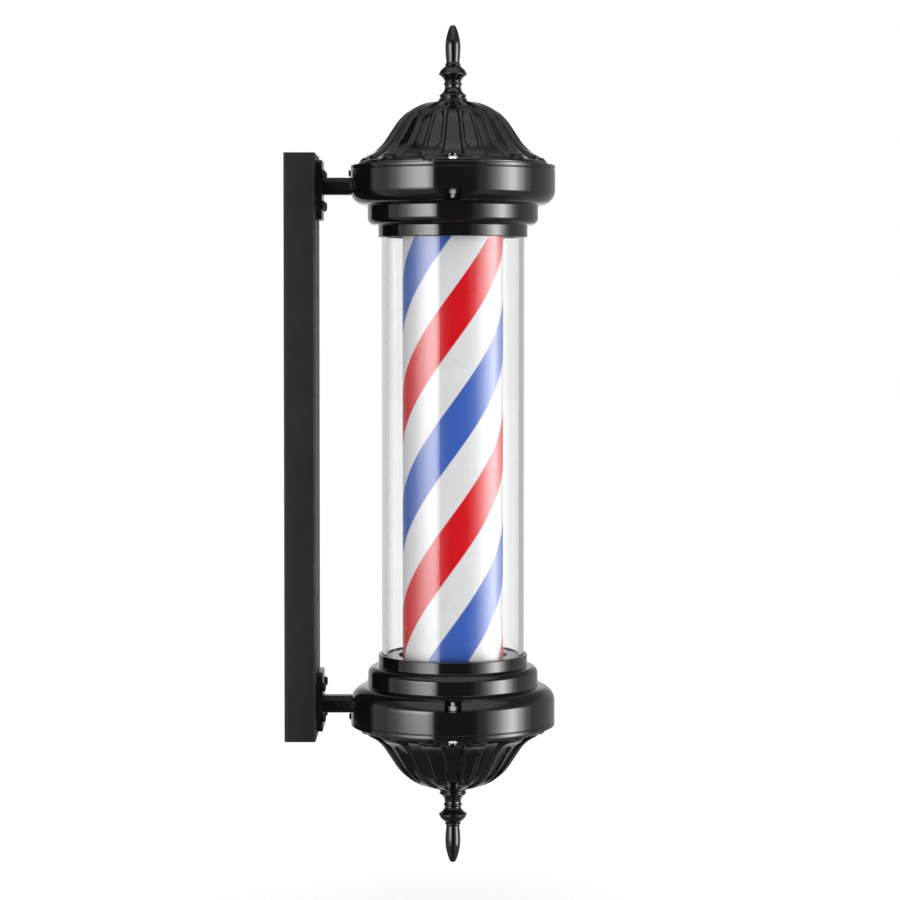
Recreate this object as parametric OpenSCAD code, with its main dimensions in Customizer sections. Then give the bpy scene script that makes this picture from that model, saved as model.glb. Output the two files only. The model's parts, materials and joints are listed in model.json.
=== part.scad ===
// Wall-hung barber pole light: a striped drum turns inside a clear tube, held between
// two stepped collars that hang on a box-section bracket.
// Origin: on the wall, at the middle of the bracket's back face. X points away from the
// wall, Y runs along the wall and Z is up. The pole's axis is parallel to Z.
// Top and bottom assemblies are mirror images, so each is drawn once in end space, where
// z = 0 is the collar's rim and z grows towards the finial.

/* [Bracket] */
// Height of the bracket bar, with its end plates
bar_h = 489; // [480:1:520]
// Width of the bracket bar, along the wall
bar_w = 80; // [70:1:100]
// Depth of the bracket bar, away from the wall
bar_d = 26; // [24:1:30]
// Sheet thickness of the bracket bar
bar_wall = 2; // [1.5:0.5:2.5]
// Distance between the two wall screws
wall_screw_pitch = 258; // [200:1:300]

/* [Arms] */
// Width of an arm, along the wall
arm_w = 18.5; // [18:0.5:20]
// Height of an arm
arm_h = 14.5; // [14:0.5:16]
// Width of an arm's flange plate
plate_w = 50; // [46:1:60]
// Height of an arm's flange plate
plate_h = 38; // [36:1:44]
// Thickness of an arm's flange plate
plate_t = 5; // [4:0.5:6]

/* [Pole] */
// Distance from the wall to the axis of the pole
axis_x = 140; // [132:1:160]
// Length of clear tube between the collars
tube_seen = 350.4; // [330:0.2:380]
// Outer diameter of the clear tube
tube_d = 120; // [119:0.5:120]
// Wall thickness of the clear tube
tube_wall = 4; // [3:0.5:4]
// Diameter of the striped drum
drum_d = 85; // [80:1:86]
// Wall thickness of the drum, without its film
drum_wall = 1.3; // [1:0.1:2]

/* [Collars] */
// Outer radius of the big ring
big_r = 86; // [85:0.5:88]
// Outer radius of the middle ring
mid_r = 71.6; // [71:0.2:72]
// Outer radius of the small ring that holds the tube
small_r = 62.7; // [62.5:0.1:63.2]
// Height of a whole collar
collar_h = 60.2; // [60:0.2:62]
// Radius of the circle that the three dome bolts lie on
bolt_circle_r = 74; // [73:0.5:75]

/* [Domes] */
// Radius of a dome's rim
dome_r = 79.8; // [79:0.2:81]
// Height of a dome up to the finial's seat
dome_h = 54.2; // [54:0.1:55]
// Number of ribs on a dome
rib_count = 12; // [8:1:16]
// Width of one rib, in degrees round the axis
rib_angle = 14.8; // [8:0.2:16]
// How far a rib stands out from the panels between the ribs
rib_rise = 2.2; // [1:0.1:3]

/* [Drive] */
// Outer radius of the gear motor's can
motor_r = 24.5; // [24:0.5:26]
// Height of the gear motor's can
motor_h = 21; // [21:0.5:26]
// Distance from the pole's axis to the idler gear's axis
gear_offset = 11; // [11:0.1:11.5]

/* [Lamp] */
// Largest radius of the lamp bulb
bulb_r = 30; // [26:0.5:34]
// Height of the bulb above its holder
bulb_h = 73; // [60:1:90]

/* [Hidden] */
$fn = 96;

// Half of the clear length: the height of each collar's rim above the middle
rim_z = tube_seen / 2;
screw_gap = 0.1;
run_gap = 0.05;

// Bracket
cap_t = 2;
cap_lip = 6;
cap_gap = 0.2;
access_r = 4.5;
wall_hole_r = 2.75;
inlet_r = 5;
grommet_bore_r = 3.6;

// Arms: heights are above the middle of the bracket
arm_z = rim_z + 42.8;
plate_z = arm_z - 3.5;
channel_r = 3.5;
arm_round = 5;
plate_screw_y = 17;
plate_screw_z = 13;
plate_screw_r = 2;
plate_head_r = 4;
plate_head_h = 2.6;
arm_bolt_r = 1.5;
arm_bolt_y = 6.4;

// Collar heights in end space
floor_z = 1;
floor_t = 2.5;
groove_z = 11.3;
ledge_z = 13.8;
mid_bend = 6;
mid_z = 10.2;
big_bend = 13;
big_z = 26.7;
wall_t = 3;
flange_t = 2.5;
groove_gap = 0.3;
drum_hole_r = 45.5;
neck_r = 53.2;
top_hole_r = 66;
saddle_t = 3;
saddle_angle = 46;
saddle_screw_r = 1.4;
saddle_head_r = 2.8;
high_screw_z = 53.8;
notch_w = 14;
notch_z0 = 28.6;
notch_z1 = 37.4;
notch_floor = 1.6;
notch_wall = 2.5;
boss_r = 49.4;
boss_screw_r = 1.5;
collar_bolt_angles = [-90, 30, 150];
plate_screw_angles = [60, 180, 300];

// Dome bolts
bolt_r = 2;
bolt_head_r = 4.6;
bolt_head_h = 2.4;
bolt_seat = 1.6;
bolt_end_z = 30.6;
nut_af = 7;
nut_h = 3.4;

// Dome outline: a convex arc over a concave one, joined by their common tangent
crown_c = [11.3, 8.8];
crown_r = 44.8;
skirt_c = [89.8, 43.45];
skirt_r = 39.8;
join_angle = 33.4;
dome_wall = 3;
dome_rim_h = 3;
rib_foot_h = 7.4;
bump_r = 2.9;
seat_r = 13.5;
stud_r = 3;

// Drum and its ends
drum_r = drum_d / 2;
film_t = 0.25;
drum_z = rim_z + 8.8;
lip_t = 1.5;
hub_r = 9;
hub_len = 17;
shaft_r = 3;
sleeve_r = 22;
sleeve_wall = 2.5;

// Motor heights in end space
plate2_t = 2;
plate2_r = 64;
base_z = ledge_z + plate2_t;
base_t = 1.2;
can_z = base_z + base_t;
can_wall = 0.8;
can_top = can_z + motor_h;
gear_r = 8.65;
pinion_r = 2.05;
gear_teeth = 32;
pinion_teeth = 8;
output_z = can_z + 0.4;
idler_z = can_z + 8;
rotor_z = can_z + 11;
ear_y = 29;

// Lamp: heights are above the lamp plate's upper face
lamp_z = -(rim_z + ledge_z);
socket_h = 38;
socket_r = 17;
lead_r = 1.25;

// Routes of the leads, as [x, z] points: terminal block, bottom arm, bar, top arm, motor
motor_route = [
    [108, -198], [102, -198], [94, -201], [86, -211], [78, -217], [70, -218], [60, -218],
    [44, -218], [32, -218], [23, -218], [16, -215], [13, -208], [13, -199], [13, -185],
    [13, -160], [13, -100], [13, 0], [13, 100], [13, 160], [13, 185], [13, 199], [13, 208],
    [16, 215], [23, 218], [32, 218], [44, 218], [60, 218], [76, 218], [86, 217], [94, 214],
    [102, 210.5], [109, 209.2], [117, 209.2]
];
lamp_route = [
    [126, -201], [130, -201], [134, -200.5], [138, -198], [140, -193.5], [140, -190], [140, -186]
];

// Points of a circular arc from angle a0 to a1
function arc(c, r, a0, a1, n = 8) =
    [for (i = [0 : n]) c + r * [cos(a0 + (a1 - a0) * i / n), sin(a0 + (a1 - a0) * i / n)]];

// One point of a smooth curve through four neighbours, at t from 0 to 1 between b and c
function curve_at(a, b, c, d, t) =
    0.5 * (2 * b + (c - a) * t + (2 * a - 5 * b + 4 * c - d) * t * t
    + (3 * b - a - 3 * c + d) * t * t * t);

// Smooth curve through all the points of a list, n steps between neighbours
function smooth(p, n = 3) = let (last = len(p) - 1) [
    for (i = [0 : last - 1], k = [0 : n - 1])
        curve_at(p[max(i - 1, 0)], p[i], p[i + 1], p[min(i + 2, last)], k / n),
    p[last]
];

// Outline of a spur gear with straight-sided teeth
function gear_outline(r, teeth, depth) = [
    for (i = [0 : teeth - 1], k = [0 : 3])
        let (a = 360 * (i + [0.06, 0.3, 0.56, 0.8][k]) / teeth, q = (k == 1 || k == 2) ? r : r - depth)
            q * [cos(a), sin(a)]
];

// Children stand on the pole's axis
module on_axis() { translate([axis_x, 0, 0]) children(); }

// Children are drawn in end space, for the top end (1) or the bottom end (-1)
module at_end(side) {
    if (side > 0) translate([axis_x, 0, rim_z]) children();
    else mirror([0, 0, 1]) translate([axis_x, 0, rim_z]) children();
}

module ring(r_out, r_in, h) {
    difference() {
        cylinder(r = r_out, h = h);
        translate([0, 0, -1]) cylinder(r = r_in, h = h + 2);
    }
}

// Rounded rectangle with true round corners
module round_rect(w, h, r) {
    square([w - 2 * r, h], center = true);
    square([w, h - 2 * r], center = true);
    for (x = [-1, 1], y = [-1, 1]) translate([x * (w / 2 - r), y * (h / 2 - r)]) circle(r = r);
}

// Pan-head screw: the head's seat is at z = 0, the shank goes down
module pan_screw(r, length, head_r, head_h) {
    translate([0, 0, -length]) cylinder(r = r, h = length + head_h / 2);
    rotate_extrude() polygon(concat(
        [[0, 0], [head_r, 0]],
        arc([head_r - head_h * 0.8, head_h * 0.2], head_h * 0.8, 0, 90, 4),
        [[0, head_h]]));
}

// ---- bracket ----

module wall_bracket() color("#2b2a2c") {
    inner_h = bar_h - 2 * cap_t;
    difference() {
        translate([0, -bar_w / 2, -inner_h / 2]) cube([bar_d, bar_w, inner_h]);
        translate([bar_wall, -bar_w / 2 + bar_wall, -bar_h])
            cube([bar_d - 2 * bar_wall, bar_w - 2 * bar_wall, 2 * bar_h]);
        for (s = [-1, 1]) translate([0, 0, s * wall_screw_pitch / 2]) rotate([0, 90, 0]) {
            translate([0, 0, -1]) cylinder(r = wall_hole_r, h = bar_wall + 2);
            translate([0, 0, bar_d - bar_wall - 1]) cylinder(r = access_r, h = bar_wall + 2);
        }
        for (s = [-1, 1]) {
            translate([bar_d - bar_wall - 1, 0, s * arm_z]) rotate([0, 90, 0])
                cylinder(r = channel_r, h = bar_wall + 2);
            plate_holes(s, bar_d - bar_wall - 1, bar_wall + 2);
        }
    }
}

module bracket_cap() {
    lip_d = bar_d - 2 * bar_wall - 2 * cap_gap;
    lip_w = bar_w - 2 * bar_wall - 2 * cap_gap;
    translate([0, -bar_w / 2, bar_h / 2 - cap_t]) cube([bar_d, bar_w, cap_t]);
    translate([bar_wall + cap_gap, 0, bar_h / 2 - cap_t - cap_lip]) difference() {
        translate([0, -lip_w / 2, 0]) cube([lip_d, lip_w, cap_lip + cap_t / 2]);
        translate([cap_t, -lip_w / 2 + cap_t, -1])
            cube([lip_d - 2 * cap_t, lip_w - 2 * cap_t, cap_lip + 1]);
    }
}

module bracket_cap_top() color("#2b2a2c") bracket_cap();

module bracket_cap_bottom() color("#2b2a2c") difference() {
    mirror([0, 0, 1]) bracket_cap();
    translate([bar_d / 2, 0, -bar_h]) cylinder(r = inlet_r, h = bar_h);
}

// Rubber grommet with a flange on each side of the bottom end plate
module inlet_grommet() color("#151515") translate([bar_d / 2, 0, -bar_h / 2]) {
    difference() {
        union() {
            cylinder(r = inlet_r, h = cap_t);
            translate([0, 0, -1.2]) cylinder(r = inlet_r + 1.8, h = 1.2);
            translate([0, 0, cap_t]) cylinder(r = inlet_r + 1.2, h = 1.2);
        }
        translate([0, 0, -2]) cylinder(r = grommet_bore_r, h = cap_t + 6);
    }
}

// ---- arms ----

// The four screw holes of one flange plate, along X
module plate_holes(side, x, h) {
    for (y = [-1, 1], z = [-1, 1])
        translate([x, y * plate_screw_y, side * plate_z + z * plate_screw_z])
            rotate([0, 90, 0]) cylinder(r = plate_screw_r + screw_gap, h = h);
}

module arm(side) {
    difference() {
        union() {
            translate([bar_d, 0, side * plate_z]) rotate([0, 90, 0])
                linear_extrude(plate_t) round_rect(plate_h, plate_w, 3);
            translate([bar_d, 0, side * arm_z]) rotate([0, 90, 0])
                linear_extrude(axis_x - big_r - bar_d + 4) round_rect(arm_h, arm_w, arm_round);
        }
        translate([axis_x, 0, side * arm_z - 30]) cylinder(r = big_r, h = 60);
        translate([bar_d - 1, 0, side * arm_z]) rotate([0, 90, 0])
            cylinder(r = channel_r, h = 60);
        for (y = [-1, 1]) translate([axis_x - big_r - 13, y * arm_bolt_y, side * arm_z])
            rotate([0, 90, 0]) cylinder(r = arm_bolt_r + screw_gap, h = 30);
        plate_holes(side, bar_d - 1, plate_t + 2);
    }
}

module arm_top() color("#1b1b1d") arm(1);

module arm_bottom() color("#1b1b1d") arm(-1);

module arm_plate_screws() color("silver") {
    for (s = [-1, 1], y = [-1, 1], z = [-1, 1])
        translate([bar_d + plate_t, y * plate_screw_y, s * plate_z + z * plate_screw_z])
            rotate([0, 90, 0])
                pan_screw(plate_screw_r, plate_t + bar_wall + 3, plate_head_r, plate_head_h);
}

// Curved plate inside the big ring, opposite the arm
module saddle(side) {
    z0 = big_z + big_bend + 0.5;
    z1 = collar_h - flange_t - 0.3;
    at_end(side) difference() {
        rotate([0, 0, 180 - saddle_angle / 2])
            rotate_extrude(angle = saddle_angle, $fn = 192)
                translate([big_r - wall_t - saddle_t - run_gap, z0]) square([saddle_t, z1 - z0]);
        ring_holes();
    }
}

// Holes through the big ring and its saddle: lead channel, arm bolts and small screws
module ring_holes() {
    translate([0, 0, arm_z - rim_z]) rotate([0, -90, 0]) {
        translate([0, 0, 70]) cylinder(r = channel_r, h = 30);
        for (y = [-1, 1]) translate([0, y * arm_bolt_y, 70])
            cylinder(r = arm_bolt_r + screw_gap, h = 30);
    }
    for (p = saddle_screw_places()) translate([0, 0, p[1]]) rotate([0, -90, p[0]])
        translate([0, 0, 70]) cylinder(r = saddle_screw_r + screw_gap, h = 30);
}

// [angle off the arm's direction, height in end space] of each small screw
function saddle_screw_places() = [
    [-20, high_screw_z], [0, high_screw_z], [20, high_screw_z],
    [-12.5, arm_z - rim_z], [12.5, arm_z - rim_z]
];

module top_saddle() color("#55575a") saddle(1);

module bottom_saddle() color("#55575a") saddle(-1);

module arm_bolts() color("silver") for (s = [-1, 1]) at_end(s) {
    for (y = [-1, 1])
        translate([-big_r + wall_t + saddle_t + 0.55, y * arm_bolt_y, arm_z - rim_z])
            rotate([0, 90, 0]) pan_screw(arm_bolt_r, 17, 2.7, 2);
}

module saddle_screws() color("silver") for (s = [-1, 1]) at_end(s) {
    for (p = saddle_screw_places()) translate([0, 0, p[1]]) rotate([0, -90, p[0]])
        translate([0, 0, big_r]) pan_screw(saddle_screw_r, 8, saddle_head_r, 1.6);
}

// ---- collars ----

// Outline of the collar's outside, from the rim to the dome
function collar_outside() = concat(
    [[small_r - 0.8, 0], [small_r, 0.8], [small_r, mid_z - 1]],
    arc([small_r + 1, mid_z - 1], 1, 180, 90, 3),
    arc([mid_r - mid_bend, mid_z + mid_bend], mid_bend, -90, 0, 8),
    [[mid_r, big_z - 1]],
    arc([mid_r + 1, big_z - 1], 1, 180, 90, 3),
    arc([big_r - big_bend, big_z + big_bend], big_bend, -90, 0, 12),
    [[big_r, collar_h - 4.4], [big_r - 0.7, collar_h - 3.9], [big_r - 0.7, collar_h - 3.5],
        [big_r, collar_h - 3], [big_r, collar_h - 0.8], [big_r - 0.8, collar_h]]
);

// Outline of the collar's inside, from the dome back to the tube's groove
function collar_inside() = concat(
    [[top_hole_r, collar_h], [top_hole_r, collar_h - flange_t],
        [big_r - wall_t, collar_h - flange_t]],
    arc([big_r - big_bend, big_z + big_bend], big_bend - wall_t, 0, -90, 8),
    [[mid_r - wall_t, big_z + wall_t]],
    arc([mid_r - mid_bend, mid_z + mid_bend], mid_bend - wall_t, 0, -90, 4),
    [[mid_r - mid_bend, ledge_z], [neck_r, ledge_z], [neck_r, floor_z + floor_t],
        [drum_hole_r, floor_z + floor_t], [drum_hole_r, floor_z],
        [tube_d / 2 - tube_wall - groove_gap, floor_z],
        [tube_d / 2 - tube_wall - groove_gap, groove_z],
        [tube_d / 2 + groove_gap, groove_z], [tube_d / 2 + groove_gap, 0]]
);

module collar_ring() {
    difference() {
        union() {
            rotate_extrude($fn = 192) polygon(concat(collar_outside(), collar_inside()));
            for (a = collar_bolt_angles) rotate([0, 0, a]) intersection() {
                rotate_extrude($fn = 192) polygon(concat([[0, 0]], collar_outside(), [[0, collar_h]]));
                translate([top_hole_r, -notch_w / 2 - notch_wall, notch_z0 - notch_floor])
                    cube([big_r - 1 - top_hole_r, notch_w + 2 * notch_wall,
                        notch_z1 - notch_z0 + notch_floor + notch_wall]);
            }
            for (a = plate_screw_angles) rotate([0, 0, a])
                translate([boss_r, 0, floor_z + floor_t / 2])
                    cylinder(r = 3.4, h = ledge_z - floor_z - floor_t / 2);
        }
        for (a = collar_bolt_angles) rotate([0, 0, a]) {
            translate([top_hole_r + 2.2, -notch_w / 2, notch_z0])
                cube([big_r, notch_w, notch_z1 - notch_z0]);
            translate([bolt_circle_r, 0, notch_z1 - 1])
                cylinder(r = bolt_r + screw_gap, h = collar_h);
        }
        for (a = plate_screw_angles) rotate([0, 0, a])
            translate([boss_r, 0, floor_z + floor_t + 1])
                cylinder(r = boss_screw_r + screw_gap, h = ledge_z);
        ring_holes();
    }
}

module top_collar() color("#121214") at_end(1) collar_ring();

module bottom_collar() color("#121214") at_end(-1) collar_ring();

// ---- domes ----

// Crown and skirt of the dome outline, moved outwards by d, from the top to angle a1
function dome_line(d, a0, a1) = concat(
    arc(crown_c, crown_r + d, a0, join_angle, 10),
    arc(skirt_c, skirt_r - d, 180 + join_angle, a1, 8)
);

// Skirt angle at which the outline moved by d comes down to height h
function skirt_angle(d, h) = 180 + asin((skirt_c[1] - h) / (skirt_r - d));

module dome_shell() {
    panel = dome_line(-rib_rise, 85, skirt_angle(-rib_rise, dome_rim_h));
    lining = dome_line(-rib_rise - dome_wall, 80, skirt_angle(-rib_rise - dome_wall, 2.5));
    turned = [for (i = [len(lining) - 1 : -1 : 0]) lining[i]];
    rotate_extrude($fn = 192) polygon(concat(
        [[0, dome_h], [seat_r, dome_h], [seat_r, panel[0][1]]], panel,
        [[dome_r - 0.8, dome_rim_h], [dome_r, dome_rim_h - 0.8], [dome_r, 0],
            [top_hole_r + 2, 0], [top_hole_r + 2, 2.5]],
        turned, [[0, lining[0][1]]]));
}

module dome_rib() {
    crest = dome_line(0, 87, skirt_angle(0, rib_foot_h));
    root = dome_line(-rib_rise - 1, 87, skirt_angle(-rib_rise - 1, rib_foot_h));
    turned = [for (i = [len(root) - 1 : -1 : 0]) root[i]];
    rotate([0, 0, -rib_angle / 2]) rotate_extrude(angle = rib_angle, $fn = 192)
        polygon(concat(crest, turned));
}

module dome() {
    difference() {
        union() {
            dome_shell();
            for (i = [0 : rib_count - 1]) rotate([0, 0, (i + 0.5) * 360 / rib_count]) {
                dome_rib();
                translate([dome_r - bump_r - 0.3, 0, bump_r + 0.2]) sphere(r = bump_r);
            }
        }
        for (a = collar_bolt_angles) rotate([0, 0, a]) translate([bolt_circle_r, 0, 0]) {
            translate([0, 0, -1]) cylinder(r = bolt_r + screw_gap, h = 12);
            translate([0, 0, bolt_seat]) cylinder(r = bolt_head_r + 0.4, h = 12);
            translate([0, -bolt_head_r - 0.4, bolt_seat]) cube([10, 2 * bolt_head_r + 0.8, 12]);
        }
        translate([0, 0, 20]) cylinder(r = stud_r + screw_gap, h = 60);
    }
}

module top_dome() color("#121214") at_end(1) translate([0, 0, collar_h]) dome();

module bottom_dome() color("#121214") at_end(-1) translate([0, 0, collar_h]) dome();

module dome_bolts() color("silver") for (s = [-1, 1]) at_end(s)
    for (a = collar_bolt_angles) rotate([0, 0, a])
        translate([bolt_circle_r, 0, collar_h + bolt_seat])
            pan_screw(bolt_r, collar_h + bolt_seat - bolt_end_z, bolt_head_r, bolt_head_h);

module dome_nuts() color("silver") for (s = [-1, 1]) at_end(s)
    for (a = collar_bolt_angles) rotate([0, 0, a])
        translate([bolt_circle_r, 0, notch_z1 - nut_h]) difference() {
            rotate([0, 0, 30]) cylinder(r = nut_af / 2 / cos(30), h = nut_h, $fn = 6);
            translate([0, 0, -1]) cylinder(r = bolt_r + run_gap, h = nut_h + 2);
        }

// ---- finials ----

// Turned outline of a finial, from its seat to its tip
function finial_line() = concat(
    arc([11.1, 0.9], 0.9, -90, 60, 3),
    [[10.6, 2.5]],
    arc([9.9, 4.2], 1.4, -60, 60, 4),
    smooth([[9.8, 5.9], [8.4, 7.4], [7.3, 9.2], [6.8, 11.2], [6.9, 12.8]], 2),
    arc([6.7, 14.1], 1.1, -80, 80, 4),
    smooth([[6.7, 15.6], [7.2, 17.4], [8.6, 19.3], [10.6, 21]], 2),
    arc([10.7, 22.3], 1.1, -50, 45, 3),
    smooth([[11, 24.3], [9.9, 26], [7.9, 27.8], [6.3, 29.2]], 2),
    arc([5.6, 30.4], 1, -65, 75, 3),
    smooth([[5.6, 32.1], [5.8, 34.5], [6.2, 39.5], [6.4, 44.5], [6.1, 49.6], [5.4, 53.5],
        [4.5, 57], [3.2, 60.8], [1.9, 62.9], [0, 63.4]], 2)
);

module finial() {
    difference() {
        rotate_extrude() polygon(concat([[0, 0]], finial_line()));
        translate([0, 0, -1]) cylinder(r = stud_r + screw_gap, h = 13);
    }
}

module top_finial() color("#121214")
    at_end(1) translate([0, 0, collar_h + dome_h]) finial();

module bottom_finial() color("#121214")
    at_end(-1) translate([0, 0, collar_h + dome_h]) finial();

module finial_studs() color("silver") for (s = [-1, 1]) at_end(s)
    translate([0, 0, collar_h + dome_h - 16]) cylinder(r = stud_r, h = 27.5);

module finial_nuts() color("silver") {
    under = crown_c[1] + (crown_r - rib_rise - dome_wall) * sin(80);
    for (s = [-1, 1]) at_end(s) translate([0, 0, collar_h + under - 5]) difference() {
        cylinder(r = 5 / cos(30), h = 5, $fn = 6);
        translate([0, 0, -1]) cylinder(r = stud_r + run_gap, h = 7);
    }
}

// ---- clear tube ----

module outer_tube() color([0.85, 0.9, 0.92, 0.35]) on_axis() {
    half = rim_z + groove_z - 1.5;
    translate([0, 0, -half]) ring(tube_d / 2, tube_d / 2 - tube_wall, 2 * half);
}

module tube_gasket(side) {
    at_end(side) translate([0, 0, groove_z - 1.5])
        ring(tube_d / 2 - 0.2, tube_d / 2 - tube_wall + 0.2, 1.5);
}

module tube_gasket_top() color("#333333") tube_gasket(1);

module tube_gasket_bottom() color("#333333") tube_gasket(-1);

// ---- turning drum ----

module pole_cylinder() color("white") on_axis() translate([0, 0, -drum_z])
    ring(drum_r - film_t, drum_r - film_t - drum_wall, 2 * drum_z);

module stripe_film() color("#c02030") on_axis() translate([0, 0, -drum_z + 1])
    ring(drum_r, drum_r - film_t, 2 * drum_z - 2);

module pole_top_cap() color("white") {
    plug_r = drum_r - film_t - drum_wall - run_gap;
    at_end(1) difference() {
        union() {
            translate([0, 0, drum_z - rim_z]) cylinder(r = drum_r, h = lip_t);
            translate([0, 0, drum_z - rim_z - 4]) ring(plug_r, plug_r - 2, 4.5);
            translate([0, 0, drum_z - rim_z - hub_len]) cylinder(r = hub_r, h = hub_len + 0.5);
        }
        translate([0, 0, -20]) cylinder(r = shaft_r, h = 40);
        translate([0, 0, -2]) rotate([90, 0, 0]) cylinder(r = boss_screw_r + screw_gap, h = 20);
    }
}

module hub_set_screw() color("dimgray") at_end(1) translate([0, -hub_r - 0.5, -2])
    rotate([-90, 0, 0]) cylinder(r = boss_screw_r, h = hub_r + 0.5 - shaft_r);

module pole_bottom_ring() color("white") {
    plug_r = drum_r - film_t - drum_wall - run_gap;
    on_axis() difference() {
        union() {
            translate([0, 0, -drum_z - lip_t]) ring(drum_r, drum_r - 5, lip_t);
            translate([0, 0, -drum_z - 0.5]) cylinder(r = plug_r, h = 3.5);
            translate([0, 0, -drum_z - 2]) cylinder(r = sleeve_r + 3.5, h = 8.5);
        }
        translate([0, 0, -drum_z - 10]) cylinder(r = sleeve_r + run_gap, h = 30);
    }
}

module guide_sleeve() color("ivory") on_axis() translate([0, 0, lamp_z]) {
    difference() {
        union() {
            cylinder(r = sleeve_r, h = 12);
            cylinder(r = sleeve_r + 5, h = 1.6);
        }
        translate([0, 0, -1]) cylinder(r = sleeve_r - sleeve_wall, h = 20);
    }
}

// ---- gear motor, in end space ----

// Round sheet-metal plate with three screw holes and a middle hole
module end_plate(middle_r) {
    difference() {
        translate([0, 0, ledge_z]) cylinder(r = plate2_r, h = plate2_t);
        translate([0, 0, ledge_z - 1]) cylinder(r = middle_r, h = plate2_t + 2);
        for (a = plate_screw_angles) rotate([0, 0, a]) translate([boss_r, 0, ledge_z - 1])
            cylinder(r = boss_screw_r + screw_gap, h = plate2_t + 2);
    }
}

module end_plate_screws() for (a = plate_screw_angles) rotate([0, 0, a])
    translate([boss_r, 0, base_z]) pan_screw(boss_screw_r, 9, 2.8, 2);

module motor_plate() color("silver") at_end(1) difference() {
    end_plate(5.3);
    for (s = [-1, 1]) translate([0, s * ear_y, ledge_z - 1])
        cylinder(r = bolt_r + screw_gap, h = plate2_t + 2);
}

module motor_plate_screws() color("gray") at_end(1) end_plate_screws();

module motor_base() color("silver") at_end(1) difference() {
    union() {
        translate([0, 0, base_z]) cylinder(r = motor_r, h = base_t);
        translate([-6, -ear_y - 5, base_z]) cube([12, 2 * ear_y + 10, base_t]);
        translate([0, 0, base_z - 2.6]) cylinder(r = 5, h = 2.6 + base_t / 2);
    }
    translate([0, 0, 0]) cylinder(r = shaft_r + run_gap, h = 30);
    for (s = [-1, 1]) translate([0, s * ear_y, base_z - 1])
        cylinder(r = bolt_r + screw_gap, h = 4);
    translate([0, gear_offset, base_z - 1]) cylinder(r = 0.8, h = 4);
}

module motor_can() color("silver") at_end(1) difference() {
    translate([0, 0, can_z]) cylinder(r = motor_r, h = motor_h);
    translate([0, 0, can_z - 1]) cylinder(r = motor_r - can_wall, h = motor_h + 1 - can_wall);
    translate([0, 0, can_top - 2]) cylinder(r = 1, h = 4);
    translate([-motor_r + 2, 0, can_top - 4]) rotate([0, -90, 0])
        cylinder(r = lead_r + screw_gap, h = 5);
}

module motor_coil() color("#b5651d") at_end(1) translate([0, 0, rotor_z]) difference() {
    ring(motor_r - can_wall - run_gap, 13.5, motor_h - 11 - can_wall);
    translate([-motor_r + 6, 0, can_top - 4 - rotor_z]) rotate([0, -90, 0])
        cylinder(r = lead_r + screw_gap, h = 9);
}

module motor_rotor() color("dimgray") at_end(1) difference() {
    union() {
        translate([0, 0, rotor_z]) cylinder(r = 12, h = motor_h - 12 - can_wall);
        translate([0, 0, rotor_z - 3.4])
            linear_extrude(3.6) polygon(gear_outline(pinion_r, pinion_teeth, 0.5));
    }
    translate([0, 0, rotor_z - 5]) cylinder(r = 1 + run_gap, h = 30);
}

module rotor_pin() color("silver") at_end(1)
    translate([0, 0, rotor_z - 5.6]) cylinder(r = 1, h = can_top - rotor_z + 5.6);

module idler_gear() color("ivory") at_end(1) translate([0, gear_offset, 0]) difference() {
    union() {
        translate([0, 0, idler_z])
            linear_extrude(2) polygon(gear_outline(gear_r, gear_teeth, 0.8));
        translate([0, 0, output_z])
            linear_extrude(idler_z - output_z + 0.5)
                polygon(gear_outline(pinion_r, pinion_teeth, 0.5));
    }
    cylinder(r = 0.8 + run_gap, h = 60);
}

module idler_pin() color("silver") at_end(1)
    translate([0, gear_offset, base_z]) cylinder(r = 0.8, h = idler_z + 2.6 - base_z);

module output_gear() color("ivory") at_end(1) translate([0, 0, output_z]) difference() {
    linear_extrude(3) polygon(gear_outline(gear_r, gear_teeth, 0.8));
    translate([0, 0, -1]) cylinder(r = shaft_r, h = 6);
}

module output_shaft() color("silver") at_end(1)
    translate([0, 0, drum_z - rim_z - hub_len + 1])
        cylinder(r = shaft_r, h = output_z + 4 - (drum_z - rim_z - hub_len + 1));

module motor_screws() color("gray") at_end(1) for (s = [-1, 1])
    translate([0, s * ear_y, can_z]) pan_screw(bolt_r, 4.5, 3.6, 2.2);

// ---- lamp ----

module lamp_plate() color("silver") at_end(-1) end_plate(5 + run_gap);

module lamp_plate_screws() color("gray") at_end(-1) end_plate_screws();

module lamp_holder() color("#202022") on_axis() translate([0, 0, lamp_z]) difference() {
    union() {
        cylinder(r = socket_r, h = socket_h);
        cylinder(r = socket_r + 2, h = 2.5);
        translate([0, 0, socket_h - 4]) cylinder(r = socket_r + 1, h = 4);
    }
    translate([0, 0, 11]) cylinder(r = 13.3, h = socket_h);
    translate([0, 0, -1]) cylinder(r = 5, h = 9);
    translate([0, 0, 6]) cylinder(r = 2.2, h = 10);
}

module lamp_nipple() color("silver") on_axis() translate([0, 0, lamp_z - 6])
    ring(5, 3.5, 14);

module nipple_nut() color("silver") on_axis() translate([0, 0, lamp_z - plate2_t - 3])
    difference() {
        cylinder(r = 7 / cos(30), h = 3, $fn = 6);
        translate([0, 0, -1]) cylinder(r = 5 + run_gap, h = 5);
    }

module bulb_base() color("silver") on_axis() translate([0, 0, lamp_z]) {
    translate([0, 0, 11]) cylinder(r = 4.5, h = 3);
    translate([0, 0, 14]) cylinder(r = 13.2, h = socket_h - 14);
}

module bulb_body() color("white") on_axis() translate([0, 0, lamp_z + socket_h])
    rotate_extrude() polygon(concat(
        [[0, 0], [13.8, 0]], arc([bulb_r + 14, 6], 29, 190, 135, 6),
        [[bulb_r - 1, 29], [bulb_r - 1, 31], [0, 31]]));

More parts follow.
